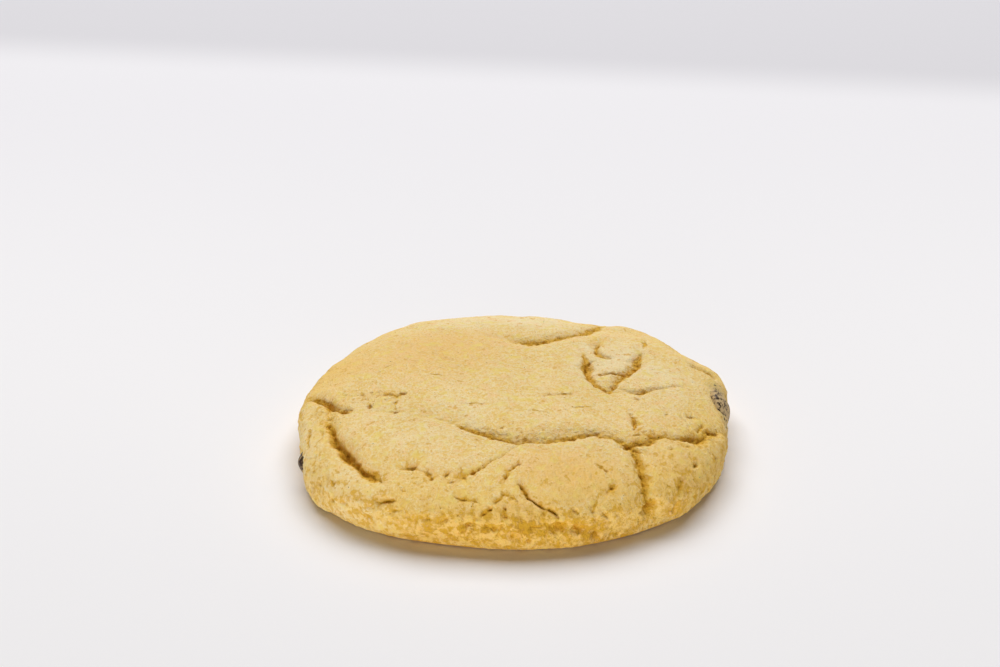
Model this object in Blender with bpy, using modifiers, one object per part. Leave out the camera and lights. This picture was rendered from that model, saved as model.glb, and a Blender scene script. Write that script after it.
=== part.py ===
# A thick soft sugar cookie that lies flat on its base, with two dark chips set in its rim.
# Lengths below are in millimetres and become metres when a mesh is made. +Z is up, the
# front of the cookie faces -Y, and the origin is on the table under the middle.

import math

import bmesh
import bpy
import numpy as np
from mathutils import Matrix, Vector, noise

MM = 0.001

# The baked blank: a low dome over a rounded flank that turns in to a flat base.
RADIUS = 46.0
WAIST_HEIGHT = 6.5
DOME_RISE = 9.5
DOME_POWER = 3.2
DOME_POINTS = 900
FOOT_INSET = 4.6
FOOT_POWER = 3.0
FLANK_POINTS = 200

# How the rim leaves a true circle: for each number of waves round the rim, the share of
# the radius that its cosine and sine parts add.
RIM_WAVES = {
    2: (0.0125, 0.0116),
    3: (0.0102, -0.0003),
    4: (-0.0196, 0.0156),
    5: (-0.0037, 0.0066),
    6: (-0.0074, -0.0038),
}

# Places on the skin are given on an unrolled map: X and Y in millimetres, with the crown
# at 0, 0 and the distance from it measured along the skin. The waist is 49 mm out.

# Broad swellings of the dough: middle, half length, half width, turn in degrees, height.
# A swelling or a pit is nearly level in its middle and is lost past its half sizes.
SWELLINGS = {
    "crown": ((-10.0, 6.0), 22.0, 15.0, 10.0, 0.5),
    "left_lobe": ((-21.0, -22.0), 14.0, 8.5, -25.0, 0.9),
    "middle_lobe": ((9.0, -34.0), 15.0, 8.0, 5.0, 0.9),
    "right_lobe": ((33.0, -29.0), 9.0, 8.0, -40.0, 0.6),
    "front_collar": ((-24.0, -39.5), 14.0, 4.5, -25.0, 0.4),
    "right_shoulder": ((34.0, 4.0), 14.0, 8.0, 80.0, 0.3),
    "back_lobe": ((-3.0, 30.0), 20.0, 7.0, 0.0, 0.2),
    "over_right_chip": ((43.2, 11.0), 5.0, 4.5, 105.0, 0.45),
    "right_waist": ((48.5, -2.0), 9.0, 4.5, 90.0, -0.45),
    "left_waist": ((-48.5, -13.0), 8.5, 5.0, 105.0, -0.55),
    "left_shoulder": ((-47.5, 2.5), 6.0, 5.0, 85.0, 0.5),
    "low_left_flank": ((-46.5, -27.5), 6.5, 4.0, 120.0, 0.65),
    "low_right_flank": ((27.5, -46.5), 9.0, 6.0, 32.0, -0.9),
    "low_front_flank": ((-18.0, -52.5), 8.0, 4.0, -20.0, -0.8),
    "left_rear_flat": ((-38.5, 24.5), 10.0, 6.0, 57.0, -0.3),
    "left_rear_lobe": ((-24.5, 36.5), 7.5, 6.0, 34.0, 0.65),
    "rear_flat": ((-9.0, 39.5), 10.0, 5.0, 13.0, -0.25),
    "rear_middle": ((7.0, 38.5), 5.0, 5.0, -10.0, 0.35),
    "rear_dip": ((17.0, 38.5), 4.5, 4.5, -23.0, -0.35),
    "right_rear_lobe": ((24.5, 35.5), 7.0, 5.5, -35.0, 0.65),
}
MOUND_POWER = 1.5

# Folds and cracks. Each one has the line of its bottom, with the depth at every point as
# the third number, then how far the dough takes to climb out on the left and on the right
# of the way the line runs, and how sharply it breaks over the edge.
FOLDS = {
    "behind_left_lobe": (
        [(-34.0, -10.5, 0.3), (-29.0, -11.5, 0.5), (-24.0, -13.0, 0.6), (-17.0, -15.0, 0.6),
         (-12.0, -18.0, 0.6)], 5.0, 2.8, 1.6),
    "front_fold": (
        [(-13.0, -17.5, 0.4), (-9.0, -21.5, 1.3), (-4.0, -24.5, 1.7), (1.0, -27.0, 2.1),
         (6.5, -26.2, 1.9), (12.0, -23.8, 1.4), (16.0, -22.3, 1.6), (20.0, -23.5, 1.3),
         (24.0, -26.6, 1.5)], 3.2, 0.9, 1.0),
    "right_crack": (
        [(22.0, -26.0, 1.2), (26.5, -22.8, 1.5), (30.0, -20.5, 0.8), (34.5, -20.5, 0.9),
         (37.5, -19.0, 1.4), (40.5, -15.5, 0.9), (44.0, -12.0, 0.7), (47.0, -10.5, 0.2)],
        1.5, 1.0, 1.8),
    "left_crack": (
        [(-39.5, -9.0, 0.1), (-38.4, -12.0, 0.5), (-36.8, -16.0, 1.7), (-34.6, -20.8, 2.8),
         (-31.8, -25.8, 2.9), (-29.3, -30.0, 2.3), (-26.5, -33.4, 1.1)], 2.0, 0.9, 1.8),
    "upper_left_notch": (
        [(-46.0, 2.5, 0.2), (-42.5, -1.0, 1.8), (-39.4, -6.0, 2.3), (-37.8, -8.0, 1.1),
         (-35.3, -10.0, 1.9), (-33.5, -11.0, 0.4)], 1.7, 0.8, 1.8),
    "under_left_lobe": (
        [(-26.8, -33.3, 0.8), (-23.0, -32.0, 0.4), (-20.0, -32.0, 0.8), (-17.3, -34.2, 0.6),
         (-13.5, -36.2, 0.4), (-10.0, -37.3, 0.8)], 1.3, 0.8, 1.5),
    "between_lobes": (
        [(-10.6, -37.4, 0.8), (-6.5, -34.5, 0.8), (-3.0, -32.0, 0.7), (1.5, -27.6, 0.5)],
        2.4, 0.9, 1.4),
    "right_front_crack": (
        [(23.5, -26.5, 1.4), (24.5, -30.0, 1.2), (25.5, -34.0, 1.4), (26.3, -38.0, 1.0),
         (28.6, -40.6, 1.5)], 1.3, 1.2, 1.8),
    "hollow_left_rim": (
        [(12.8, 19.0, 0.2), (13.8, 14.0, 0.6), (14.4, 9.0, 1.3), (14.8, 5.0, 2.0),
         (15.8, 1.0, 1.6), (17.6, -2.8, 1.0), (19.6, -4.8, 0.9)], 2.6, 0.9, 1.1),
    "hollow_right_rim": (
        [(19.6, -4.8, 1.0), (21.3, -1.5, 0.9), (22.5, 1.5, 1.0), (23.5, 4.0, 1.4),
         (25.3, 8.0, 1.6), (26.0, 12.0, 1.3), (26.3, 16.0, 0.3)], 1.5, 0.8, 1.4),
    "hollow_split": (
        [(20.0, 23.0, 0.4), (18.3, 19.0, 0.8), (17.2, 15.0, 1.0), (17.3, 12.8, 1.1),
         (18.8, 11.0, 1.0), (20.5, 10.8, 0.4)], 0.9, 1.2, 1.6),
    "side_split": (
        [(22.5, -3.5, 0.4), (25.0, -4.2, 0.8), (27.0, -4.9, 1.2), (28.5, -3.2, 0.9),
         (30.0, -1.8, 0.7), (35.5, 0.0, 0.3)], 0.8, 0.6, 1.6),
    "back_fold": (
        [(-9.0, 23.0, 0.1), (-3.0, 20.5, 0.4), (2.0, 18.8, 0.9), (5.0, 20.0, 1.5),
         (7.0, 20.4, 1.3), (10.5, 22.5, 1.0), (14.0, 25.0, 0.9), (16.8, 28.0, 1.2),
         (19.0, 32.0, 1.1), (21.0, 37.0, 1.1)], 1.6, 2.2, 1.3),
    "rim_split": (
        [(36.8, 11.8, 0.3), (38.5, 11.0, 1.1), (41.5, 10.0, 1.2), (43.0, 9.0, 0.3)],
        0.8, 0.7, 1.6),
    "flank_split": (
        [(0.8, -39.6, 0.5), (1.4, -41.0, 1.0), (2.8, -43.0, 1.0), (6.0, -45.0, 1.1),
         (8.2, -45.8, 1.4), (9.2, -46.8, 0.4)], 0.6, 0.5, 1.6),
}

# The size of the waver that keeps the folds from running in straight lines, and its height.
WAVER_SIZE = 3.0
WAVER = 0.8
WAVER_SHIFT = 50.0

# Pits where the dough opened: middle, half length, half width, turn in degrees, depth.
PITS = {
    "right_hole": ((28.3, -40.0), 1.8, 1.3, 70.0, 2.0),
    "base_pit_left": ((0.0, -51.3), 1.4, 1.0, 0.0, 1.0),
    "base_pit_middle": ((9.4, -48.7), 2.4, 1.1, 5.0, 1.2),
    "base_pit_right": ((13.6, -48.3), 2.0, 1.0, 20.0, 1.0),
    "base_pit_far": ((18.2, -49.4), 2.3, 1.0, -55.0, 1.0),
    "left_pit": ((-25.5, -39.0), 2.6, 0.9, -10.0, 0.9),
    "rear_dent": ((39.8, 23.0), 7.0, 6.5, -60.0, 1.5),
}

# Gentle unevenness of the whole skin: size of the lumps and how far they stand out. All
# the relief dies away over the last few millimetres above the base, which stays flat.
LUMPS = ((11.0, 0.45), (4.5, 0.22))
FADE_HEIGHT = 1.4

# Fineness of the shaped skin, and the number of triangles it is brought down to.
ROW_STEP = 0.6
ROUND_STEPS = 420
COOKIE_TRIANGLES = 10800
BASE_SNAP = 0.05
LEVEL = 0.0001

# The dark chips in the rim: where each one's middle lies, seen from above as an angle round
# the rim, how far out and how high, its radius, its flatness, and how its tip is turned.
CHIP_GAP = 0.3
CHIP_RINGS = 10
CHIP_SEGMENTS = 18
CHIP_TIP = 0.25
CHIPS = {
    "chip_left": {"angle": 202.0, "out": 43.9, "height": 5.2, "radius": 3.9, "flat": 0.72,
                  "tilt": 90.0},
    "chip_right": {"angle": 1.0, "out": 43.1, "height": 8.0, "radius": 4.5, "flat": 0.46,
                   "tilt": 78.0},
}

DOUGH_COLOUR = (0.72, 0.50, 0.22, 1.0)
CHIP_COLOUR = (0.055, 0.028, 0.014, 1.0)
DOUGH_ROUGHNESS = 0.85
CHIP_ROUGHNESS = 0.35


def clear_scene():
    for thing in list(bpy.data.objects):
        bpy.data.objects.remove(thing, do_unlink=True)


def make_collection(name):
    group = bpy.data.collections.new(name)
    bpy.context.scene.collection.children.link(group)
    return group


def make_material(name, colour, roughness):
    material = bpy.data.materials.new(name)
    material.use_nodes = True
    shader = material.node_tree.nodes["Principled BSDF"]
    shader.inputs["Base Color"].default_value = colour
    shader.inputs["Roughness"].default_value = roughness
    shader.inputs["Metallic"].default_value = 0.0
    return material


def blank_profile():
    """Half section of the blank from crown to foot, as radius and height, in even rows."""
    share = 1.0 - np.linspace(1.0, 0.0, DOME_POINTS) ** 2
    dome = np.stack([RADIUS * share,
                     WAIST_HEIGHT + DOME_RISE * np.sqrt(np.clip(1.0 - share ** DOME_POWER, 0, 1))])
    turn = np.arccos(np.linspace(1.0, 0.0, FLANK_POINTS))[1:]
    flank = np.stack([RADIUS - FOOT_INSET * (1.0 - np.cos(turn) ** (2.0 / FOOT_POWER)),
                      WAIST_HEIGHT * (1.0 - np.sin(turn) ** (2.0 / FOOT_POWER))])
    line = np.concatenate([dome, flank], axis=1)
    steps = np.hypot(*np.diff(line, axis=1))
    along = np.concatenate([[0.0], np.cumsum(steps)])
    rows = np.linspace(0.0, along[-1], int(along[-1] / ROW_STEP) + 1)
    radius = np.interp(rows, along, line[0])
    height = np.interp(rows, along, line[1])
    return rows, radius, height


def turned_blank(radius, height):
    """The profile turned about Z: rows of points from the crown down, and a flat base."""
    shape = bmesh.new()
    points = [shape.verts.new((r * MM, 0.0, z * MM)) for r, z in zip(radius, height)]
    points.append(shape.verts.new((0.0, 0.0, 0.0)))
    for start, end in zip(points, points[1:]):
        shape.edges.new((start, end))
    mesh = bpy.data.meshes.new("blank")
    shape.to_mesh(mesh)
    shape.free()
    blank = bpy.data.objects.new("blank", mesh)
    bpy.context.scene.collection.objects.link(blank)
    screw = blank.modifiers.new("turn", "SCREW")
    screw.steps = ROUND_STEPS
    screw.render_steps = ROUND_STEPS
    screw.use_merge_vertices = True
    screw.merge_threshold = 0.00001
    return blank


def baked_mesh(thing, name):
    """The mesh of an object with its modifiers carried out; the object itself goes."""
    bpy.context.view_layer.update()
    seen = thing.evaluated_get(bpy.context.evaluated_depsgraph_get())
    mesh = bpy.data.meshes.new_from_object(seen)
    mesh.name = name
    bpy.data.objects.remove(thing, do_unlink=True)
    return mesh


def to_path(x, y, path):
    """Distance to an open path, the side of it (+1 on its left) and its depth just there."""
    corners = np.array(path)
    nearest = np.full(x.shape, np.inf)
    side = np.ones_like(x)
    depth = np.zeros_like(x)
    for start, end in zip(corners, corners[1:]):
        length = math.hypot(end[0] - start[0], end[1] - start[1])
        way = (end - start) / length
        dx = x - start[0]
        dy = y - start[1]
        ahead = np.clip(dx * way[0] + dy * way[1], 0.0, length)
        off = np.hypot(dx - ahead * way[0], dy - ahead * way[1])
        closer = off < nearest
        nearest = np.where(closer, off, nearest)
        side = np.where(closer, np.sign(way[0] * dy - way[1] * dx), side)
        depth = np.where(closer, start[2] + way[2] * ahead, depth)
    return nearest, side, depth


def mound(x, y, middle, length, width, turn):
    """A round-topped patch that is 1 at its middle and fades out past its half sizes."""
    angle = math.radians(turn)
    dx = x - middle[0]
    dy = y - middle[1]
    along = (dx * math.cos(angle) + dy * math.sin(angle)) / length
    across = (dy * math.cos(angle) - dx * math.sin(angle)) / width
    return np.exp(-(along ** 2 + across ** 2) ** MOUND_POWER)


def lumps(places, size):
    """Soft unevenness from -1 to 1, the same on every run."""
    return np.array([noise.noise(Vector(place) / size) for place in places])


def relief(x, y, places):
    """How far the skin stands out from the blank, in millimetres, at each place."""
    out = np.zeros_like(x)
    for middle, length, width, turn, height in SWELLINGS.values():
        out += height * mound(x, y, middle, length, width, turn)
    for size, height in LUMPS:
        out += height * lumps(places, size)
    sunk = np.zeros_like(x)
    wander = WAVER * lumps(places, WAVER_SIZE)
    sway = WAVER * lumps(places + WAVER_SHIFT, WAVER_SIZE)
    for path, left, right, edge in FOLDS.values():
        off, side, depth = to_path(x + wander, y + sway, path)
        reach = np.where(side > 0, left, right)
        sunk = np.maximum(sunk, depth * np.exp(-(off / reach) ** edge))
    for middle, length, width, turn, depth in PITS.values():
        sunk = np.maximum(sunk, depth * mound(x, y, middle, length, width, turn))
    return out - sunk


def rim_share(angle):
    """The blank's radius at an angle round the rim, as a share of its mean radius."""
    share = np.ones_like(angle)
    for waves, (cosine, sine) in RIM_WAVES.items():
        share += cosine * np.cos(waves * angle) + sine * np.sin(waves * angle)
    return share


def shape_skin(mesh, rows, radius, height):
    """Moves every point of the blank above its base out or in by the relief."""
    flat = np.empty(len(mesh.vertices) * 3)
    mesh.vertices.foreach_get("co", flat)
    spots = flat.reshape(-1, 3) / MM
    ring = np.hypot(spots[:, 0], spots[:, 1])
    angle = np.arctan2(spots[:, 1], spots[:, 0])
    on_base = (spots[:, 2] < LEVEL) & (ring < radius[-1] - ROW_STEP)
    gap = (ring[:, None] - radius) ** 2 + (spots[:, 2][:, None] - height) ** 2
    row = gap.argmin(axis=1)
    slope_r = np.gradient(radius, rows)
    slope_z = np.gradient(height, rows)
    normal_r = -slope_z[row]
    normal_z = slope_r[row]
    x = rows[row] * np.cos(angle)
    y = rows[row] * np.sin(angle)
    fade = np.clip(spots[:, 2] / FADE_HEIGHT, 0.0, 1.0)
    push = relief(x, y, spots) * fade * fade * (3.0 - 2.0 * fade)
    push[on_base] = 0.0
    share = rim_share(angle)
    new_ring = ring * share + push * normal_r
    spots[:, 0] = new_ring * np.cos(angle)
    spots[:, 1] = new_ring * np.sin(angle)
    spots[:, 2] += push * normal_z
    mesh.vertices.foreach_set("co", (spots * MM).ravel())
    mesh.update()


def thinned(mesh, triangles):
    """The mesh with long flat stretches simplified, down to about this many triangles."""
    thing = bpy.data.objects.new("thinning", mesh)
    bpy.context.scene.collection.objects.link(thing)
    mesh.calc_loop_triangles()
    step = thing.modifiers.new("thin", "DECIMATE")
    step.ratio = triangles / len(mesh.loop_triangles)
    return baked_mesh(thing, "cookie")


def flatten_base(mesh):
    """Puts every point that lies within a hair of the table exactly on it."""
    for point in mesh.vertices:
        if point.co.z < BASE_SNAP * MM:
            point.co.z = 0.0
    mesh.update()


def chip_mesh(name, radius, flat, grow):
    """A drop-shaped chip: a flattened ball with its upper half drawn up to a blunt tip."""
    shape = bmesh.new()
    bmesh.ops.create_uvsphere(shape, u_segments=CHIP_SEGMENTS, v_segments=CHIP_RINGS,
                              radius=1.0)
    for point in shape.verts:
        tip = max(0.0, point.co.z)
        narrow = 1.0 - CHIP_TIP * tip * tip
        point.co.x *= narrow * (radius + grow)
        point.co.y *= narrow * (radius + grow)
        point.co.z *= radius * flat * (1.0 + CHIP_TIP * tip) + grow
    bmesh.ops.triangulate(shape, faces=shape.faces)
    bmesh.ops.scale(shape, vec=(MM, MM, MM), verts=shape.verts)
    mesh = bpy.data.meshes.new(name)
    shape.to_mesh(mesh)
    shape.free()
    mesh.shade_smooth()
    return mesh


def chip_place(chip):
    """Where a chip sits: tipped outwards, then turned to its place round the rim."""
    turn = Matrix.Rotation(math.radians(chip["angle"]), 4, "Z")
    spot = Matrix.Translation((chip["out"] * MM, 0.0, chip["height"] * MM))
    tip = Matrix.Rotation(math.radians(chip["tilt"]), 4, "Y")
    return turn @ spot @ tip


def build_cookie(group, cutters):
    rows, radius, height = blank_profile()
    mesh = baked_mesh(turned_blank(radius, height), "shaped")
    shape_skin(mesh, rows, radius, height)
    mesh = thinned(mesh, COOKIE_TRIANGLES)
    flatten_base(mesh)
    mesh.materials.clear()
    mesh.materials.append(make_material("baked_dough", DOUGH_COLOUR, DOUGH_ROUGHNESS))
    mesh.shade_smooth()
    cookie = bpy.data.objects.new("cookie", mesh)
    group.objects.link(cookie)
    for name, chip in CHIPS.items():
        cutter_mesh = chip_mesh(name + "_pocket", chip["radius"], chip["flat"], CHIP_GAP)
        cutter = bpy.data.objects.new(name + "_pocket", cutter_mesh)
        cutter.matrix_world = chip_place(chip)
        cutter.hide_render = True
        cutter.display_type = "WIRE"
        cutters.objects.link(cutter)
        pocket = cookie.modifiers.new(name + "_pocket", "BOOLEAN")
        pocket.operation = "DIFFERENCE"
        pocket.solver = "EXACT"
        pocket.object = cutter
    return cookie


def build_chips(group):
    material = make_material("dark_chip", CHIP_COLOUR, CHIP_ROUGHNESS)
    chips = []
    for name, chip in CHIPS.items():
        mesh = chip_mesh(name, chip["radius"], chip["flat"], 0.0)
        mesh.materials.append(material)
        thing = bpy.data.objects.new(name, mesh)
        thing.matrix_world = chip_place(chip)
        group.objects.link(thing)
        chips.append(thing)
    return chips


def centre_on_origin(solids, cutters):
    """Slides everything so that the box round the solids stands centred on the origin."""
    bpy.context.view_layer.update()
    graph = bpy.context.evaluated_depsgraph_get()
    corners = []
    for solid in solids:
        seen = solid.evaluated_get(graph)
        corners += [seen.matrix_world @ point.co for point in seen.data.vertices]
    middle_x = (min(c.x for c in corners) + max(c.x for c in corners)) / 2
    middle_y = (min(c.y for c in corners) + max(c.y for c in corners)) / 2
    for thing in solids + list(cutters.objects):
        thing.matrix_world = Matrix.Translation((-middle_x, -middle_y, 0.0)) @ thing.matrix_world
    bpy.context.view_layer.update()


def main():
    clear_scene()
    group = make_collection("sugar_cookie")
    cutters = make_collection("cutters")
    cookie = build_cookie(group, cutters)
    chips = build_chips(group)
    centre_on_origin([cookie] + chips, cutters)


main()
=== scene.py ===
import math

import bmesh
import bpy
import numpy as np
from mathutils import Matrix, Vector, noise


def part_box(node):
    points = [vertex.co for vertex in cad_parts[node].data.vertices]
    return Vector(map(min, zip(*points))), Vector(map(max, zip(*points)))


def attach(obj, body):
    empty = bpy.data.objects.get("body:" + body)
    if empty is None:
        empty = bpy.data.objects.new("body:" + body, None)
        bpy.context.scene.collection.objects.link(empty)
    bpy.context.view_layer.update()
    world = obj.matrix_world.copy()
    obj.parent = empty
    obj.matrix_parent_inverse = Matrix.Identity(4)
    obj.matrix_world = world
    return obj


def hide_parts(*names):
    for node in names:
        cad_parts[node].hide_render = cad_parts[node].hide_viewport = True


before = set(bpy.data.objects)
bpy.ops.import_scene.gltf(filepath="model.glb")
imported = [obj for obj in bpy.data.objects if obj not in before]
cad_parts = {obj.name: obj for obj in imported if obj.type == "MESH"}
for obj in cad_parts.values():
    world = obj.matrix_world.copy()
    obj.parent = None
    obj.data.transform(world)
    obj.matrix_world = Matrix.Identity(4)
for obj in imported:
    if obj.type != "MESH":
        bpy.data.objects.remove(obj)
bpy.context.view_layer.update()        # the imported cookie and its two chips
print("frame loaded:", ", ".join(sorted(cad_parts)))

mm = 0.001
body = "root"

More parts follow.
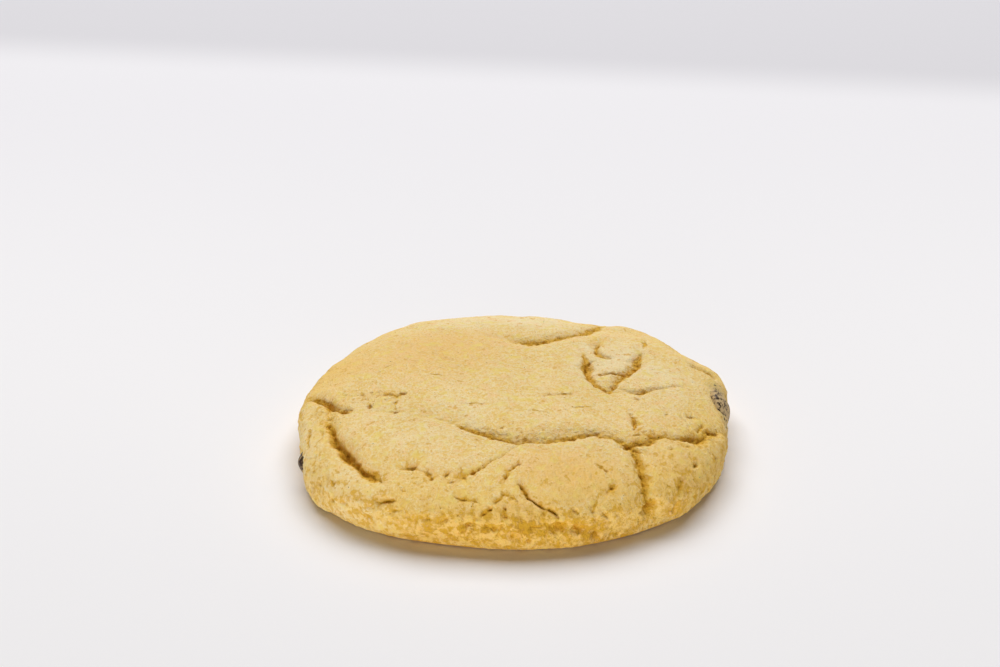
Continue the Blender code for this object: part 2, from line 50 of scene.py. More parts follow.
# The cookie. Places on its skin are on an unrolled map in millimetres: the crown is at 0, 0,
# the distance from it runs along the skin, and the waist is 49 mm out.
cookie = {
    "radius": 46.0, "waist": 6.5, "rise": 9.5, "domePower": 3.2, "footInset": 4.6,
    "footPower": 3.0,
    "rimWaves": {2: (0.0125, 0.0116), 3: (0.0102, -0.0003), 4: (-0.0196, 0.0156),
                 5: (-0.0037, 0.0066), 6: (-0.0074, -0.0038)},
    "rows": 50, "roundSteps": 250, "cuts": 3,
    "triangles": 195000,
    "fadeHeight": 1.4,                     # the relief comes in up to this height
    "profileSteps": (1500, 600),           # points of the half section, on the dome and flank
    "baseInset": 0.2,                      # how far inside the foot a point counts as base
    "baseRun": 60.0,                       # what the base has for its distance on the map
    "baseFacing": -0.99,                   # faces whose normal points down by this stay flat
    # middle, half length, half width, turn in degrees, height
    "swellings": {
        "crown": ((-10, 6), 22, 15, 10, 0.5),
        "leftLobe": ((-21, -22), 14, 8.5, -25, 0.9),
        "middleLobe": ((9, -34), 15, 8, 5, 0.9),
        "rightLobe": ((33, -29), 9, 8, -40, 0.6),
        "frontCollar": ((-24, -39.5), 14, 4.5, -25, 0.4),
        "rightShoulder": ((34, 4), 14, 8, 80, 0.3),
        "backLobe": ((-3, 30), 20, 7, 0, 0.2),
        "overRightChip": ((43.2, 11), 5, 4.5, 105, 0.45),
        "rightWaist": ((48.5, -2), 9, 4.5, 90, -0.45),
        "leftWaist": ((-48.5, -13), 8.5, 5, 105, -0.55),
        "leftShoulder": ((-47.5, 2.5), 6, 5, 85, 0.5),
        "lowLeftFlank": ((-46.5, -27.5), 6.5, 4, 120, 0.65),
        "lowRightFlank": ((27.5, -46.5), 9, 6, 32, -0.9),
        "lowFrontFlank": ((-18, -52.5), 8, 4, -20, -0.8),
        "leftRearFlat": ((-38.5, 24.5), 10, 6, 57, -0.3),
        "leftRearLobe": ((-24.5, 36.5), 7.5, 6, 34, 0.65),
        "rearFlat": ((-9, 39.5), 10, 5, 13, -0.25),
        "rearMiddle": ((7, 38.5), 5, 5, -10, 0.35),
        "rearDip": ((17, 38.5), 4.5, 4.5, -23, -0.35),
        "rightRearLobe": ((24.5, 35.5), 7, 5.5, -35, 0.65),
    },
    # points of the bottom as x, y and depth, then the climb on the left and on the right of the
    # way the line runs, and how sharply the dough breaks at the edge
    "folds": {
        "behindLeftLobe": ([(-34, -10.5, 0.3), (-29, -11.5, 0.5), (-24, -13, 0.6), (-17, -15, 0.6),
            (-12, -18, 0.6)], 5, 2.8, 1.6),
        "frontFold": ([(-13, -17.5, 0.4), (-9, -21.5, 1.3), (-4, -24.5, 1.7), (1, -27, 2.1),
            (6.5, -26.2, 1.9), (12, -23.8, 1.4), (16, -22.3, 1.6), (20, -23.5, 1.3),
            (24, -26.6, 1.5)], 3.2, 0.9, 1),
        "rightCrack": ([(22, -26, 1.2), (26.5, -22.8, 1.5), (30, -20.5, 0.8), (34.5, -20.5, 0.9),
            (37.5, -19, 1.4), (40.5, -15.5, 0.9), (44, -12, 0.7), (47, -10.5, 0.2)], 1.5, 1, 1.8),
        "leftCrack": ([(-39.5, -9, 0.1), (-38.4, -12, 0.5), (-36.8, -16, 1.7), (-34.6, -20.8, 2.8),
            (-31.8, -25.8, 2.9), (-29.3, -30, 2.3), (-26.5, -33.4, 1.1)], 2, 0.9, 1.8),
        "upperLeftNotch": ([(-46, 2.5, 0.2), (-42.5, -1, 1.8), (-39.4, -6, 2.3), (-37.8, -8, 1.1),
            (-35.3, -10, 1.9), (-33.5, -11, 0.4)], 1.7, 0.8, 1.8),
        "underLeftLobe": ([(-26.8, -33.3, 0.8), (-23, -32, 0.4), (-20, -32, 0.8),
            (-17.3, -34.2, 0.6), (-13.5, -36.2, 0.4), (-10, -37.3, 0.8)], 1.3, 0.8, 1.5),
        "betweenLobes": ([(-10.6, -37.4, 0.8), (-6.5, -34.5, 0.8), (-3, -32, 0.7),
            (1.5, -27.6, 0.5)], 2.4, 0.9, 1.4),
        "rightFrontCrack": ([(23.5, -26.5, 1.4), (24.5, -30, 1.2), (25.5, -34, 1.4),
            (26.3, -38, 1), (28.6, -40.6, 1.5)], 1.3, 1.2, 1.8),
        "hollowLeftRim": ([(12.8, 19, 0.2), (13.8, 14, 0.6), (14.4, 9, 1.3), (14.8, 5, 2),
            (15.8, 1, 1.6), (17.6, -2.8, 1), (19.6, -4.8, 0.9)], 2.6, 0.9, 1.1),
        "hollowRightRim": ([(19.6, -4.8, 1), (21.3, -1.5, 0.9), (22.5, 1.5, 1), (23.5, 4, 1.4),
            (25.3, 8, 1.6), (26, 12, 1.3), (26.3, 16, 0.3)], 1.5, 0.8, 1.4),
        "hollowSplit": ([(20, 23, 0.4), (18.3, 19, 0.8), (17.2, 15, 1), (17.3, 12.8, 1.1),
            (18.8, 11, 1), (20.5, 10.8, 0.4)], 0.9, 1.2, 1.6),
        "sideSplit": ([(22.5, -3.5, 0.4), (25, -4.2, 0.8), (27, -4.9, 1.2), (28.5, -3.2, 0.9),
            (30, -1.8, 0.7), (35.5, 0, 0.3)], 0.8, 0.6, 1.6),
        "backFold": ([(-9, 23, 0.1), (-3, 20.5, 0.4), (2, 18.8, 0.9), (5, 20, 1.5), (7, 20.4, 1.3),
            (10.5, 22.5, 1), (14, 25, 0.9), (16.8, 28, 1.2), (19, 32, 1.1), (21, 37, 1.1)],
            1.6, 2.2, 1.3),
        "rimSplit": ([(36.8, 11.8, 0.3), (38.5, 11, 1.1), (41.5, 10, 1.2), (43, 9, 0.3)],
            0.8, 0.7, 1.6),
        "flankSplit": ([(0.8, -39.6, 0.5), (1.4, -41, 1), (2.8, -43, 1), (6, -45, 1.1),
            (8.2, -45.8, 1.4), (9.2, -46.8, 0.4)], 0.6, 0.5, 1.6),
    },
    # middle, half length, half width, turn in degrees, depth
    "pits": {
        "rightHole": ((28.3, -40), 1.8, 1.3, 70, 2),
        "basePitLeft": ((0, -51.3), 1.4, 1, 0, 1),
        "basePitMiddle": ((9.4, -48.7), 2.4, 1.1, 5, 1.2),
        "basePitRight": ((13.6, -48.3), 2, 1, 20, 1),
        "basePitFar": ((18.2, -49.4), 2.3, 1, -55, 1),
        "leftPit": ((-25.5, -39), 2.6, 0.9, -10, 0.9),
        "rearDent": ((39.8, 23), 7, 6.5, -60, 1.5),
    },
    # fine cracks: depth, then the points
    "marks": [
        (0.5, (-27, -5.5), (-24, -6.5), (-22.5, -5)), (0.25, (-24, -8), (-23.3, -13)),
        (0.8, (-23.6, -13), (-23.2, -13.3)), (0.7, (-29.8, -9.3), (-29, -9.8)),
        (0.2, (-28.5, 6), (-25.5, 7.5)), (0.25, (-34.5, 5), (-33, 5.8)),
        (0.5, (-42.5, -13), (-42, -18)), (0.5, (-39, -14.5), (-38.5, -17)),
        (0.5, (-36, -29.5), (-35, -31)), (0.6, (-38, -33), (-37, -34)),
        (0.6, (-31.5, -38), (-30, -41.2)), (0.6, (-28, -38.5), (-23.5, -39.5)),
        (0.6, (-24, -41.5), (-22.5, -42)), (0.5, (-22, -38), (-21, -38.6)),
        (0.7, (-20, -32.2), (-19, -31.6)), (0.7, (-17.5, -33.5), (-16.5, -36.3)),
        (0.7, (-14, -35.8), (-13.2, -35)), (0.6, (-11, -34), (-10.5, -37)),
        (0.6, (-8.5, -36), (-7.5, -35.4)), (0.6, (-2, -39), (-1.5, -37), (1, -35)),
        (0.7, (-4, -44), (-2.2, -42), (0.5, -43.5)), (0.7, (-2, -45), (-2, -47)),
        (0.7, (1, -40), (1.6, -41.5), (2.5, -43)), (0.5, (16, -33.5), (17.8, -35)),
        (0.6, (19.8, -37.5), (18, -40)), (0.6, (16.5, -41.5), (15.5, -44.5)),
        (0.6, (17.8, -44), (19.2, -45)), (0.6, (12, -44.5), (12.8, -45)),
        (0.6, (-12, -42), (-9, -43), (-7.5, -43.5)), (0.8, (-7.5, -46.8), (-5, -45)),
        (0.8, (-18.2, -44.8), (-17.4, -45)), (0.8, (-20.8, -44.5), (-20, -44.5)),
        (0.8, (-16, -46.5), (-14.5, -46)), (0.7, (-10.8, -48.3), (-9.8, -48)),
        (0.8, (-6.5, -48.8), (-3.5, -49.5)), (0.9, (3.5, -49.3), (6.5, -48.3)),
        (0.9, (17.5, -47.5), (19, -50.5)), (0.7, (2.8, -52), (3.6, -52)),
        (0.6, (34, -38.5), (34.6, -37.6)), (0.6, (32.5, -36), (33.5, -32)),
        (0.6, (36.3, -27.3), (37, -26)), (0.5, (30.5, -25), (31.4, -24.4)),
        (0.6, (34, -22.5), (35, -22.3)), (0.7, (36.2, -11.7), (37, -11.5)),
        (0.5, (31, -13), (31.8, -12.8)), (0.5, (34.5, -12.5), (35.2, -13.4)),
        (0.3, (6, -8), (12, -7)), (0.9, (23.5, -14.5), (24.3, -17), (24, -19.5)),
        (0.7, (15.5, 9), (14.6, 6.5)), (0.8, (20.6, -2.5), (21.3, -1.2)),
        (0.7, (18, 3.5), (21, 3.8), (23, 4.4)), (0.3, (27, 17), (28, 23)),
        (0.5, (25, -8), (26, -8.2)), (0.6, (22, -26), (23, -24)),
        (0.6, (38, -16), (39.5, -13)), (0.7, (41, -14), (43.5, -13)),
        (0.2, (-10, -10), (-6, -11)), (0.15, (-18, 2), (-15, 1)),
        (0.2, (2, -14), (7, -15)), (0.2, (12, -13), (16, -12)),
    ],
    "markReach": 0.42,                     # how far a fine crack slopes to each side
    "markWidth": (0.06, 0.7),              # half width of a fine crack, and what its depth adds
    "markTaper": (-0.6, 1.8),              # distances from its ends over which it opens
    "patches": (0.35, 2.2, 1.4),           # least width of it, what noise adds, size of the noise
    # a fold's dark line is crumb colour with painted shade in its bottom
    "foldWidth": 0.18,                     # half width of a fold's dark line for each mm of depth
    "lineDepth": (0.4, 0.05, 3.0),         # taken off that depth first, then its least and most
    "farGap": 3.0,                         # line widths away from which no line is near
    "foldTorn": (0.25, 1.1),               # depths over which a fold tears the skin
    "tornReach": (0.5, 2.0),               # distances over which the torn crumb ends
    "pitTorn": (0.3, 1.2),                 # the same depths of a pit
    "openPit": 4.0,                        # a pit with this half length or more keeps its skin
    "waver": ((3.0, 0.8), (1.2, 0.28)),    # sizes and reach of the wander of folds and cracks
    # where the skin is crumbly: middle, half length, half width, turn in degrees, share
    "crumbly": [
        ((2, -23.5), 9, 3.5, -20, 0.7), ((-29, -5.5), 8, 3, -20, 0.8),
        ((25.4, -34), 6, 2.2, -75, 1.0), ((38, -18), 8, 3, 40, 1.0), ((27, -21), 5, 2.5, 10, 0.9),
        ((10, -48), 12, 3.5, 5, 1.0), ((-14, -46), 12, 3, -10, 0.7), ((-33, -38), 9, 4, -45, 0.5),
        ((24, 5.5), 6, 2, 62, 0.8), ((-39, -9), 6, 4, -50, 0.9), ((28, -40), 3.5, 2.5, 0, 1.0),
        ((-42, -20), 9, 4, -60, 0.4), ((17, -22.5), 5, 2, 0, 0.9), ((40, 10.5), 3.5, 1.5, -15, 0.9),
        ((4, 20), 4, 1.5, 10, 0.7), ((17, 28.5), 4, 1.6, 60, 0.7), ((14, -38), 8, 6, 0, 0.4),
        ((36, -33), 8, 6, -45, 0.4), ((-15, -37), 10, 3, -10, 0.5),
    ],
    "flankCrumb": (42.0, 50.0, 0.7),       # from where and to where on the map it grows, share
    "tornCrumb": (0.25, 0.8, 0.9),         # the same over the torn share of folds
    # how pale (above 0) or toasted (below 0) the skin is: middle, half sizes, turn, share; the
    # toasted band low on the front is partly toasting and partly painted shade
    "tints": [
        ((20, 9), 10, 9, 0, 0.8), ((-3, 33), 24, 7, 0, 0.8), ((36, 2), 9, 9, 0, 0.25),
        ((-17, 14), 16, 12, 20, -0.55), ((-38, 12), 7, 8, 0, -0.5), ((10, -36), 11, 6, 0, -0.6),
        ((-8, -14), 12, 6, -20, 0.3), ((34, -31), 9, 7, -40, -0.3), ((-21, -22), 11, 7, -25, 0.1),
        # the first band here, low on the front, is partly toasting and partly painted shade
        ((0, -50), 36, 5, 0, -0.7), ((-46, -14), 6, 14, 15, 0.6), ((-36, -34), 12, 7, -45, 0.5),
    ],
    # where a chip has rubbed off on the dough
    "smears": [((45.2, 1.5), 6, 3, 105, 1.0), ((47.3, -4), 5, 2.2, 95, 0.8)],
    "lumps": ((11.0, 0.45), (4.5, 0.22)),  # size and height of the unevenness
    "crumbs": ((1.9, 0.27), (0.95, 0.2)),  # the same of the rounded crumbs of the skin
    "crumbLevel": 0.25,                    # the noise that leaves the skin where it is
    "crumbShare": (0.35, 1.4, 1.2),        # on whole skin, and what crumbly and torn places add
    # noise sizes, weight of the second, noise where pores start on whole and on crumbly skin, the
    # noise that it takes to reach the depth, and the depth's share on whole skin
    "pores": {"size": 0.95, "broadSize": 2.2, "broadWeight": 0.5, "from": 0.6, "to": 0.24,
              "slope": 0.35, "depth": 0.5, "wholeShare": 0.3},
}


def fineProfile():
    # half section of the blank from crown to foot, with the distance run along it
    domeSteps, flankSteps = cookie["profileSteps"]
    share = 1.0 - np.linspace(1.0, 0.0, domeSteps) ** 2
    top = np.sqrt(np.clip(1.0 - share ** cookie["domePower"], 0.0, 1.0))
    dome = np.stack([cookie["radius"] * share, cookie["waist"] + cookie["rise"] * top])
    turn = np.arccos(np.linspace(1.0, 0.0, flankSteps))[1:]
    bend = 2.0 / cookie["footPower"]
    flank = np.stack([cookie["radius"] - cookie["footInset"] * (1.0 - np.cos(turn) ** bend),
                      cookie["waist"] * (1.0 - np.sin(turn) ** bend)])
    line = np.concatenate([dome, flank], axis=1)
    along = np.concatenate([[0.0], np.cumsum(np.hypot(*np.diff(line, axis=1)))])
    return along, line[0], line[1]


def rimShare(angle):
    share = np.ones_like(angle)
    for waves, (cosine, sine) in cookie["rimWaves"].items():
        share += cosine * np.cos(waves * angle) + sine * np.sin(waves * angle)
    return share


def toPath(x, y, path):
    # distance to an open path, the side of it, and the depth that its points give there
    corners = np.array(path, float)
    nearest = np.full(x.shape, np.inf)
    side = np.ones_like(x)
    depth = np.zeros_like(x)
    for start, end in zip(corners, corners[1:]):
        length = math.hypot(end[0] - start[0], end[1] - start[1])
        way = (end - start) / length
        dx = x - start[0]
        dy = y - start[1]
        ahead = np.clip(dx * way[0] + dy * way[1], 0.0, length)
        off = np.hypot(dx - ahead * way[0], dy - ahead * way[1])
        closer = off < nearest
        nearest = np.where(closer, off, nearest)
        side = np.where(closer, np.sign(way[0] * dy - way[1] * dx), side)
        depth = np.where(closer, start[-1] + way[-1] * ahead, depth)
    return nearest, side, depth


def mound(x, y, middle, length, width, turn):
    angle = math.radians(turn)
    dx = x - middle[0]
    dy = y - middle[1]
    along = (dx * math.cos(angle) + dy * math.sin(angle)) / length
    across = (dy * math.cos(angle) - dx * math.sin(angle)) / width
    return np.exp(-(along ** 2 + across ** 2) ** 1.5)


def summed(x, y, patches):
    total = np.zeros_like(x)
    for middle, length, width, turn, share in patches:
        total += share * mound(x, y, middle, length, width, turn)
    return total


def strongest(x, y, patches):
    most = np.zeros_like(x)
    for middle, length, width, turn, share in patches:
        most = np.maximum(most, share * mound(x, y, middle, length, width, turn))
    return most


def unevenness(places, size, shift=0.0):
    # noise about 0; another shift gives other noise of the same size
    return np.array([noise.noise(Vector(p) / size) for p in (places + shift).tolist()])


def between(value, low, high):
    share = np.clip((value - low) / (high - low), 0.0, 1.0)
    return share * share * (3.0 - 2.0 * share)


def foldsAndPits(x, y):
    # depth, torn share, and distance to the nearest bottom in widths of its dark line
    start, least, most = cookie["lineDepth"]
    crack = np.zeros_like(x)
    gap = np.full(x.shape, cookie["farGap"])
    sunk = np.zeros_like(x)
    for path, left, right, edge in cookie["folds"].values():
        off, side, depth = toPath(x, y, path)
        gap = np.minimum(gap, off / (cookie["foldWidth"] * np.clip(depth - start, least, most)))
        dig = depth * np.exp(-(off / np.where(side > 0, left, right)) ** edge)
        sunk = np.maximum(sunk, dig)
        torn = between(dig, *cookie["foldTorn"]) * (1.0 - between(off, *cookie["tornReach"]))
        crack = np.maximum(crack, torn)
    for middle, length, width, turn, depth in cookie["pits"].values():
        dig = depth * mound(x, y, middle, length, width, turn)
        sunk = np.maximum(sunk, dig)
        if length < cookie["openPit"]:
            crack = np.maximum(crack, between(dig, *cookie["pitTorn"]))
    return sunk, crack, gap


def fineCracks(x, y, bentX, bentY, patchy):
    # depth, and distance to the nearest in widths of its line
    least, added = cookie["markWidth"]
    gap = np.full(x.shape, cookie["farGap"])
    slit = np.zeros_like(x)
    for depth, *points in cookie["marks"]:
        off = toPath(bentX, bentY, points)[0]
        ends = np.min([np.hypot(x - px, y - py) for px, py in (points[0], points[-1])], axis=0)
        taper = between(ends, *cookie["markTaper"])
        gap = np.minimum(gap, off / ((least + added * depth) * taper * patchy))
        slit = np.maximum(slit, depth * np.exp(-(off / cookie["markReach"]) ** 1.5))
    return slit * patchy, gap


def crumbly(x, y, crack):
    loose = strongest(x, y, cookie["crumbly"])
    start, end, share = cookie["flankCrumb"]
    loose = np.maximum(loose, share * between(np.hypot(x, y), start, end))
    start, end, share = cookie["tornCrumb"]
    return np.maximum(loose, share * between(crack, start, end))


def crumbRelief(places, loose, crack):
    crumb = np.zeros_like(loose)
    for size, height in cookie["crumbs"]:
        crumb += height * (np.abs(unevenness(places, size, 31.0)) - cookie["crumbLevel"])
    whole, whenLoose, whenTorn = cookie["crumbShare"]
    crumb *= whole + whenLoose * loose + whenTorn * crack
    pores = cookie["pores"]
    level = pores["from"] + (pores["to"] - pores["from"]) * loose
    broad = unevenness(places, pores["broadSize"], 13.0)
    wild = unevenness(places, pores["size"], 77.0) + pores["broadWeight"] * broad
    share = pores["wholeShare"] + (1.0 - pores["wholeShare"]) * loose
    return crumb - pores["depth"] * share * between(wild, level, level + pores["slope"])


def relief(x, y, places):
    # how far the skin stands out, with what its colour goes by
    out = summed(x, y, cookie["swellings"].values())
    for size, height in cookie["lumps"]:
        out += height * unevenness(places, size)
    (slowSize, slowReach), (fastSize, fastReach) = cookie["waver"]
    slowX = slowReach * unevenness(places, slowSize)
    slowY = slowReach * unevenness(places, slowSize, 50.0)
    bothX = slowX + fastReach * unevenness(places, fastSize, 9.0)
    bothY = slowY + fastReach * unevenness(places, fastSize, 59.0)
    sunk, crack, foldGap = foldsAndPits(x + bothX, y + bothY)
    least, added, size = cookie["patches"]
    patchy = least + added * np.abs(unevenness(places, size, 5.0))
    slit, markGap = fineCracks(x, y, x + bothX - slowX, y + bothY - slowY, patchy)
    loose = crumbly(x, y, crack)
    crumb = crumbRelief(places, loose, crack)
    return out - sunk - slit + crumb, {
        "crack": crack, "crumb": crumb - slit, "loose": loose,
        "tint": summed(x, y, cookie["tints"]), "gap": np.minimum(foldGap, markGap),
        "smear": strongest(x, y, cookie["smears"])}


def inOneOrder(shape):
    # spin leaves its faces in another order on each run, so they are laid again in one order
    shape.verts.index_update()
    rings = []
    for face in shape.faces:
        ring = [point.index for point in face.verts]
        first = ring.index(min(ring))
        ring = ring[first:] + ring[:first]
        rings.append(ring if ring[1] < ring[-1] else ring[:1] + ring[:0:-1])
    laid = bmesh.new()
    points = [laid.verts.new(point.co) for point in shape.verts]
    for ring in sorted(rings):
        laid.faces.new([points[index] for index in ring])
    shape.free()
    return laid


def spinBlank():
    along, radius, height = fineProfile()
    rows = np.linspace(0.0, along[-1], cookie["rows"])
    shape = bmesh.new()
    points = [shape.verts.new((np.interp(u, along, radius) * mm, 0.0,
                               np.interp(u, along, height) * mm)) for u in rows]
    points.append(shape.verts.new((0.0, 0.0, 0.0)))
    edges = [shape.edges.new(pair) for pair in zip(points, points[1:])]
    bmesh.ops.spin(shape, geom=points + edges, cent=(0, 0, 0), axis=(0, 0, 1),
                   angle=math.tau, steps=cookie["roundSteps"], use_merge=True)
    bmesh.ops.remove_doubles(shape, verts=shape.verts, dist=1e-7)
    shape = inOneOrder(shape)
    bmesh.ops.subdivide_edges(shape, edges=shape.edges, cuts=cookie["cuts"], use_grid_fill=True)
    bmesh.ops.recalc_face_normals(shape, faces=shape.faces)
    return shape


def shapeCookie():
    along, radius, height = fineProfile()
    shape = spinBlank()
    print("blank spun:", len(shape.faces), "faces")
    mesh = bpy.data.meshes.new("cookieSkin")
    shape.to_mesh(mesh)
    shape.free()
    flat = np.empty(len(mesh.vertices) * 3)
    mesh.vertices.foreach_get("co", flat)
    spots = flat.reshape(-1, 3) / mm
    ring = np.hypot(spots[:, 0], spots[:, 1])
    angle = np.arctan2(spots[:, 1], spots[:, 0])
    onBase = (spots[:, 2] < 1e-3) & (ring < radius[-1] - cookie["baseInset"])
    lift = np.arctan2(height, radius)          # falls all the way from crown to foot
    run = np.interp(-np.arctan2(spots[:, 2], ring), -lift, along)
    ring = np.where(onBase, ring, np.interp(run, along, radius))
    spots[:, 2] = np.where(onBase, 0.0, np.interp(run, along, height))
    spots[:, 0] = ring * np.cos(angle)
    spots[:, 1] = ring * np.sin(angle)
    normalR = np.interp(run, along, -np.gradient(height, along))
    normalZ = np.interp(run, along, np.gradient(radius, along))
    x = run * np.cos(angle)
    y = run * np.sin(angle)
    push, traits = relief(x, y, spots)
    push *= between(spots[:, 2], 0.0, cookie["fadeHeight"])
    push[onBase] = 0.0
    ringNow = ring * rimShare(angle) + push * normalR
    spots[:, 0] = ringNow * np.cos(angle)
    spots[:, 1] = ringNow * np.sin(angle)
    spots[:, 2] += push * normalZ
    mesh.vertices.foreach_set("co", (spots * mm).ravel())
    for name, values in traits.items():
        layer = mesh.attributes.new(name, "FLOAT", "POINT")
        layer.data.foreach_set("value", np.where(onBase, 0.0, values).astype(np.float32))
    layer = mesh.attributes.new("run", "FLOAT", "POINT")
    layer.data.foreach_set("value", np.where(onBase, cookie["baseRun"], run).astype(np.float32))
    mesh.update()
    print("cookie skin moved,", len(mesh.vertices), "points")
    return mesh


def bakedMesh(piece):
    bpy.context.view_layer.update()
    seen = piece.evaluated_get(bpy.context.evaluated_depsgraph_get())
    return bpy.data.meshes.new_from_object(seen)


def addPiece(name, mesh, slotName, *nodes):
    piece = bpy.data.objects.new(name, mesh)
    bpy.context.scene.collection.objects.link(piece)
    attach(piece, body)
    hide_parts(*nodes)
    return piece


def thinned(mesh, triangles):
    holder = bpy.data.objects.new("holder", mesh)
    bpy.context.scene.collection.objects.link(holder)
    mesh.calc_loop_triangles()
    step = holder.modifiers.new("thin", "DECIMATE")
    step.ratio = min(1.0, triangles / len(mesh.loop_triangles))
    done = bakedMesh(holder)
    bpy.data.objects.remove(holder, do_unlink=True)
    return done


def centreOnNode(mesh, node):
    # slides the skin so that its plan box has the middle of the solid it stands for
    low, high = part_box(node)
    spots = np.empty(len(mesh.vertices) * 3)
    mesh.vertices.foreach_get("co", spots)
    spots = spots.reshape(-1, 3)
    middle = (spots.min(axis=0) + spots.max(axis=0)) / 2
    slide = Vector(((low.x + high.x) / 2 - middle[0], (low.y + high.y) / 2 - middle[1], 0.0))
    mesh.transform(Matrix.Translation(slide))
    return slide


# Shading. A wire is one output socket: sums and products of wires and numbers add Math nodes.
class Wire:
    def __init__(self, tree, socket=None):
        self.tree = tree
        self.socket = socket

    def node(self, kind, settings=(), inputs=(), output=0):
        made = self.tree.nodes.new(kind)
        for key, value in dict(settings).items():
            setattr(made, key, value)
        for key, value in dict(inputs).items():
            if isinstance(value, Wire):
                self.tree.links.new(value.socket, made.inputs[key])
            else:
                made.inputs[key].default_value = value
        return Wire(self.tree, made.outputs[output])

    def maths(self, operation, first, second):
        return self.node("ShaderNodeMath", {"operation": operation}, {0: first, 1: second})

    def __add__(self, other):
        return self.maths("ADD", self, other)

    __radd__ = __add__

    def __sub__(self, other):
        return self.maths("SUBTRACT", self, other)

    def __rsub__(self, other):
        return self.maths("SUBTRACT", other, self)

    def __mul__(self, other):
        return self.maths("MULTIPLY", self, other)

    __rmul__ = __mul__

    def clamp(self):
        return self.node("ShaderNodeClamp", {}, {"Value": self})

    def between(self, low, high):
        return self.node("ShaderNodeMapRange", {"interpolation_type": "SMOOTHSTEP"},
                         {"Value": self, "From Min": low, "From Max": high})

    def noise(self, place, size, detail=2.0, roughness=0.5):
        return self.node("ShaderNodeTexNoise", {}, {
            "Vector": place, "Scale": 1000.0 / size, "Detail": detail, "Roughness": roughness})

    def attribute(self, name):
        return self.node("ShaderNodeAttribute", {"attribute_name": name}, {}, "Fac")

    def mix(self, first, second):
        # from the first colour to the second as this wire goes from 0 to 1
        return self.node("ShaderNodeMix", {"data_type": "RGBA"}, {0: self, 6: first, 7: second}, 2)

    def feeds(self, socket):
        self.tree.links.new(self.socket, socket)


def linear(red, green, blue):
    # a colour as the photo shows it, 0 to 255, as the light that Blender works with
    parts = [part / 255 for part in (red, green, blue)]
    return tuple(p / 12.92 if p <= 0.04045 else ((p + 0.055) / 1.055) ** 2.4
                 for p in parts) + (1.0,)


def newMaterial(name, roughness):
    material = bpy.data.materials.new(name)
    material.use_nodes = True
    tree = material.node_tree
    shader = tree.nodes["Principled BSDF"]
    shader.inputs["Roughness"].default_value = roughness
    start = Wire(tree)
    return material, shader, start, start.node("ShaderNodeTexCoord", {}, {}, "Object")


doughLook = {
    "pale": (247, 225, 173), "gold": (236, 195, 104), "deep": (222, 170, 44),
    "dark": (182, 126, 14), "sugar": (250, 232, 190), "toastAndShade": (243, 190, 106),
    "flank": (248, 204, 102), "mustard": (190, 136, 30), "rose": (250, 208, 156),
    "lemon": (240, 214, 108), "smear": (190, 168, 130), "speck": (58, 36, 20),
    "base": (196, 142, 72), "roughness": 0.8, "shine": 0.2, "bump": 0.0004,
    "glow": 0.12, "glowRadius": (1.0, 0.7, 0.25), "glowScale": 0.0012,
    # size of each noise in mm, its detail and its roughness
    "grains": {"fine": (0.38, 3.0, 0.6), "grit": (0.9, 2.0, 0.6), "ragged": (1.3, 3.0, 0.65),
               "broad": (7.0, 3.0, 0.5), "hue": (2.2, 2.0, 0.5)},
    # distances along the skin over which each part of it comes in
    "zones": {"flank": (31.0, 50.0), "low": (40.0, 50.0), "base": (55.5, 57.5)},
    "hueEdge": (0.04, 0.2), "lineEdge": (0.2, 1.9), "poreEdge": (0.16, 0.32),
    "sunkenEdge": (0.0, 0.3), "speckEdge": (0.48, 0.6),
}


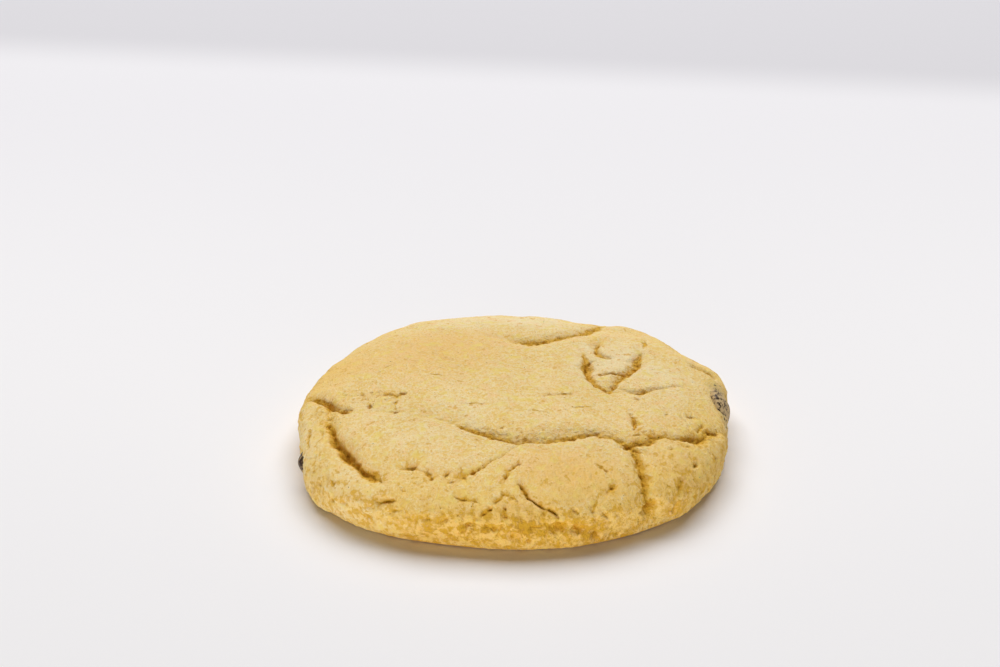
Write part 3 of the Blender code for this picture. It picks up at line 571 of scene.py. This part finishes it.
def doughMaterial():
    look = doughLook
    material, shader, start, place = newMaterial("bakedDough", look["roughness"])
    crack, crumb, loose, tint, gap, smear, run = [start.attribute(name) for name in (
        "crack", "crumb", "loose", "tint", "gap", "smear", "run")]
    fine, grit, ragged, broad, hue = [start.noise(place, *grain) - 0.5
                                      for grain in look["grains"].values()]
    flank, low, base = [run.between(*zone) for zone in look["zones"].values()]
    tone = (fine * 3.2 + grit * 2.6 + ragged * 1.3 + broad + 0.56).clamp()
    blotch = (ragged * 7.0 + hue * 5.0 + broad * 3.0 + 0.2).clamp()
    # fine cracks, the pores of crumbly places, the torn crumb inside the folds, its low spots; the
    # crack lines and low spots carry painted shade as well as crumb colour
    line = 1.0 - (gap + ragged * 2.4 + fine * 1.5).between(*look["lineEdge"])
    pores = (grit * 1.2 + ragged * 0.6 + hue * 0.9 + loose * 0.16 + flank * 0.06).between(
        *look["poreEdge"])
    torn = (crack * 1.1 + loose * 0.3 + ragged * 2.2 + fine * 1.3 - 0.25).clamp()
    # painted shade in the low spots of the crumb relief
    sunkenShade = (0.0 - crumb).between(*look["sunkenEdge"]) * (loose * 0.6 + 0.1)
    # painted shade with some darker crumb colour, deepest where crack lines, torn crumb and pores
    # meet
    hollowShade = (line * 0.5 + torn * 0.55 + pores * 0.2 + fine * 1.4 + grit * 0.8 - 0.6).clamp()
    # colours laid one over the other, each with where it lies and how strongly
    layers = (
        ("sugar", (tint + broad).clamp() * 0.6),
        # toasted places, together with the painted shade of the low front band
        ("toastAndShade", (broad + 0.1 - tint).clamp() * 0.7),
        ("rose", hue.between(*look["hueEdge"]) * 0.45),
        ("lemon", (0.0 - hue).between(*look["hueEdge"]) * 0.5),
        ("flank", flank * (0.45 - tint * 0.35 + ragged * 2.4).clamp()),
        # mustard blotches on the low flank, strongest on the low front band, where they are partly
        # painted shade
        ("mustard", (0.2 - tint).clamp() * low * blotch),
        # crack and fold lines: crumb colour and painted shade
        ("deep", line * 0.9),
        ("deep", pores * 0.75),
        ("deep", torn * 0.85),
        ("deep", sunkenShade * 0.6),
        # the darkest colour goes where this painted shade lies
        ("dark", (hollowShade * 1.5).clamp()),
        ("smear", smear * 0.7),
        ("speck", (fine * 1.5 + grit * 1.5 + smear * 0.5).between(*look["speckEdge"])),
        ("base", base),
    )
    colour = tone.mix(linear(*look["gold"]), linear(*look["pale"]))
    for name, share in layers:
        colour = share.mix(colour, linear(*look[name]))
    colour.feeds(shader.inputs["Base Color"])
    shader.inputs["Specular IOR Level"].default_value = look["shine"]
    shader.inputs["Subsurface Weight"].default_value = look["glow"]
    shader.inputs["Subsurface Radius"].default_value = look["glowRadius"]
    shader.inputs["Subsurface Scale"].default_value = look["glowScale"]
    start.node("ShaderNodeBump", {}, {
        "Height": fine * 0.9 + grit * 0.7 - line * 0.2 - pores * 0.15,
        "Distance": look["bump"], "Strength": 1.0,
    }).feeds(shader.inputs["Normal"])
    return material


def buildCookie():
    mesh = thinned(shapeCookie(), cookie["triangles"])
    slide = centreOnNode(mesh, "cookie")
    mesh.materials.clear()
    mesh.materials.append(doughMaterial())
    mesh.shade_smooth()
    rounded = [face.normal.z > cookie["baseFacing"] for face in mesh.polygons]
    mesh.polygons.foreach_set("use_smooth", rounded)
    mesh.update()
    addPiece("cookieDough", mesh, "baked_dough", "cookie")
    print("cookie dough:", len(mesh.polygons), "faces, slid", [round(s / mm, 2) for s in slide])
    return slide


# The chips, drop-shaped and pressed into the rim.
chips = {
    "chip_left": {"angle": 202.0, "out": 43.9, "height": 5.2, "radius": 3.9, "flat": 0.72,
                  "tilt": 90.0, "veil": -0.04},
    "chip_right": {"angle": 1.0, "out": 43.1, "height": 8.0, "radius": 4.5, "flat": 0.46,
                   "tilt": 78.0, "veil": 0.07},
}
# what they share: form, with the size and height of its lumps, then the looks
chipForm = {"segments": 72, "rings": 40, "tip": 0.25, "lumps": ((1.6, 0.07), (0.6, 0.03)),
            "inset": 0.08}
chipLook = {"cocoa": (50, 28, 12), "film": (202, 174, 128), "filmGrain": (0.9, 3.0, 0.7),
            "filmEdge": (0.44, 0.6), "roughness": 0.4, "filmRoughness": 0.35, "shine": 0.2,
            "bumpSize": 0.5, "bump": 0.0001, "bumpStrength": 0.6}


def chipPlace(chip, slide):
    turn = Matrix.Rotation(math.radians(chip["angle"]), 4, "Z")
    spot = Matrix.Translation((chip["out"] * mm, 0.0, chip["height"] * mm))
    tip = Matrix.Rotation(math.radians(chip["tilt"]), 4, "Y")
    return Matrix.Translation(slide) @ turn @ spot @ tip


def chipMaterial(name, veil):
    # the larger the veil, the more of the chip lies under a film of dough
    look = chipLook
    material, shader, start, place = newMaterial(name, look["roughness"])
    film = (start.noise(place, *look["filmGrain"]) + veil).between(*look["filmEdge"])
    film.mix(linear(*look["cocoa"]), linear(*look["film"])).feeds(shader.inputs["Base Color"])
    shader.inputs["Specular IOR Level"].default_value = look["shine"]
    (film * look["filmRoughness"] + look["roughness"]).feeds(shader.inputs["Roughness"])
    start.node("ShaderNodeBump", {}, {
        "Height": start.noise(place, look["bumpSize"]), "Distance": look["bump"],
        "Strength": look["bumpStrength"],
    }).feeds(shader.inputs["Normal"])
    return material


def buildChips(slide):
    for name, chip in chips.items():
        shape = bmesh.new()
        bmesh.ops.create_uvsphere(shape, u_segments=chipForm["segments"],
                                  v_segments=chipForm["rings"], radius=1.0)
        for point in shape.verts:
            tip = max(0.0, point.co.z)
            narrow = 1.0 - chipForm["tip"] * tip * tip
            point.co.x *= narrow * chip["radius"]
            point.co.y *= narrow * chip["radius"]
            point.co.z *= chip["radius"] * chip["flat"] * (1.0 + chipForm["tip"] * tip)
        shape.normal_update()
        for point in shape.verts:
            rough = sum(height * noise.noise(point.co / size) for size, height in chipForm["lumps"])
            point.co += point.normal * (rough - chipForm["inset"])
        bmesh.ops.scale(shape, vec=(mm, mm, mm), verts=shape.verts)
        bmesh.ops.transform(shape, matrix=chipPlace(chip, slide), verts=shape.verts)
        mesh = bpy.data.meshes.new(name + "Skin")
        shape.to_mesh(mesh)
        shape.free()
        mesh.materials.append(chipMaterial(name + "Cocoa", chip["veil"]))
        mesh.shade_smooth()
        addPiece(name + "Skin", mesh, "dark_chip", name)
    print("chips built")


studio = {
    "lens": 70.0, "sensor": 36.0, "camera": (-2.95, -363.36, 198.70), "pitch": 25.38,
    "floorSize": 6.0, "floorCells": 8, "floorRoughness": 0.9,
    # the floor's own even colour near the cookie, then painted shade that darkens it towards the
    # back and in a far band
    "near": (243, 241, 242), "far": (210, 208, 212),
    "backShade": (230, 228, 231), "backFrom": 0.0, "backTo": 0.26,
    "edge": (0.262, -0.142, 0.04),         # where the far part starts, its slant and softness, m
    "world": 0.045, "key": 37.4, "keySpot": (0.0, 0.8, 1.46), "keySize": (2.0, 1.3),
    "fill": 17.5, "fillSpot": (-0.3, -1.3, 0.075), "fillSize": (2.8, 0.12),
}


def addStage():
    shape = bmesh.new()
    cells = studio["floorCells"]
    bmesh.ops.create_grid(shape, x_segments=cells, y_segments=cells, size=studio["floorSize"] / 2)
    mesh = bpy.data.meshes.new("studioFloor")
    shape.to_mesh(mesh)
    shape.free()
    floor = bpy.data.objects.new("studioFloor", mesh)
    bpy.context.scene.collection.objects.link(floor)
    material, shader, start, place = newMaterial("floorPaper", studio["floorRoughness"])
    apart = start.node("ShaderNodeSeparateXYZ", {}, {"Vector": place}, "Y")
    across = start.node("ShaderNodeSeparateXYZ", {}, {"Vector": place}, "X")
    middle, slant, soft = studio["edge"]
    # painted shade: the floor colour darkens towards the back and beyond a slanted far edge
    far = (apart - across * slant).between(middle - soft / 2, middle + soft / 2)
    paperAndShade = apart.between(studio["backFrom"], studio["backTo"]).mix(
        linear(*studio["near"]), linear(*studio["backShade"]))
    far.mix(paperAndShade, linear(*studio["far"])).feeds(shader.inputs["Base Color"])
    mesh.materials.append(material)


def addLight(name, place, size, power):
    lamp = bpy.data.lights.new(name, "AREA")
    lamp.shape = "RECTANGLE"
    lamp.size, lamp.size_y = size
    lamp.energy = power
    holder = bpy.data.objects.new(name, lamp)
    holder.location = place
    holder.rotation_euler = (-Vector(place)).to_track_quat("-Z", "Y").to_euler()
    bpy.context.scene.collection.objects.link(holder)


def addStudio(slide):
    scene = bpy.context.scene
    camera = bpy.data.cameras.new("photoCamera")
    camera.lens = studio["lens"]
    camera.sensor_width = studio["sensor"]
    holder = bpy.data.objects.new("photoCamera", camera)
    holder.location = Vector(studio["camera"]) * mm + slide
    holder.rotation_euler = (math.radians(90.0 - studio["pitch"]), 0.0, 0.0)
    scene.collection.objects.link(holder)
    scene.camera = holder
    scene.view_settings.view_transform = "Standard"
    world = bpy.data.worlds.new("paleRoom")
    scene.world = world
    world.use_nodes = True
    backdrop = world.node_tree.nodes["Background"]
    backdrop.inputs["Color"].default_value = (1.0, 1.0, 1.0, 1.0)
    backdrop.inputs["Strength"].default_value = studio["world"]
    for name in ("key", "fill"):
        addLight(name, studio[name + "Spot"], studio[name + "Size"], studio[name])
    addStage()
    print("studio lit")


slide = buildCookie()
buildChips(slide)
addStudio(slide)
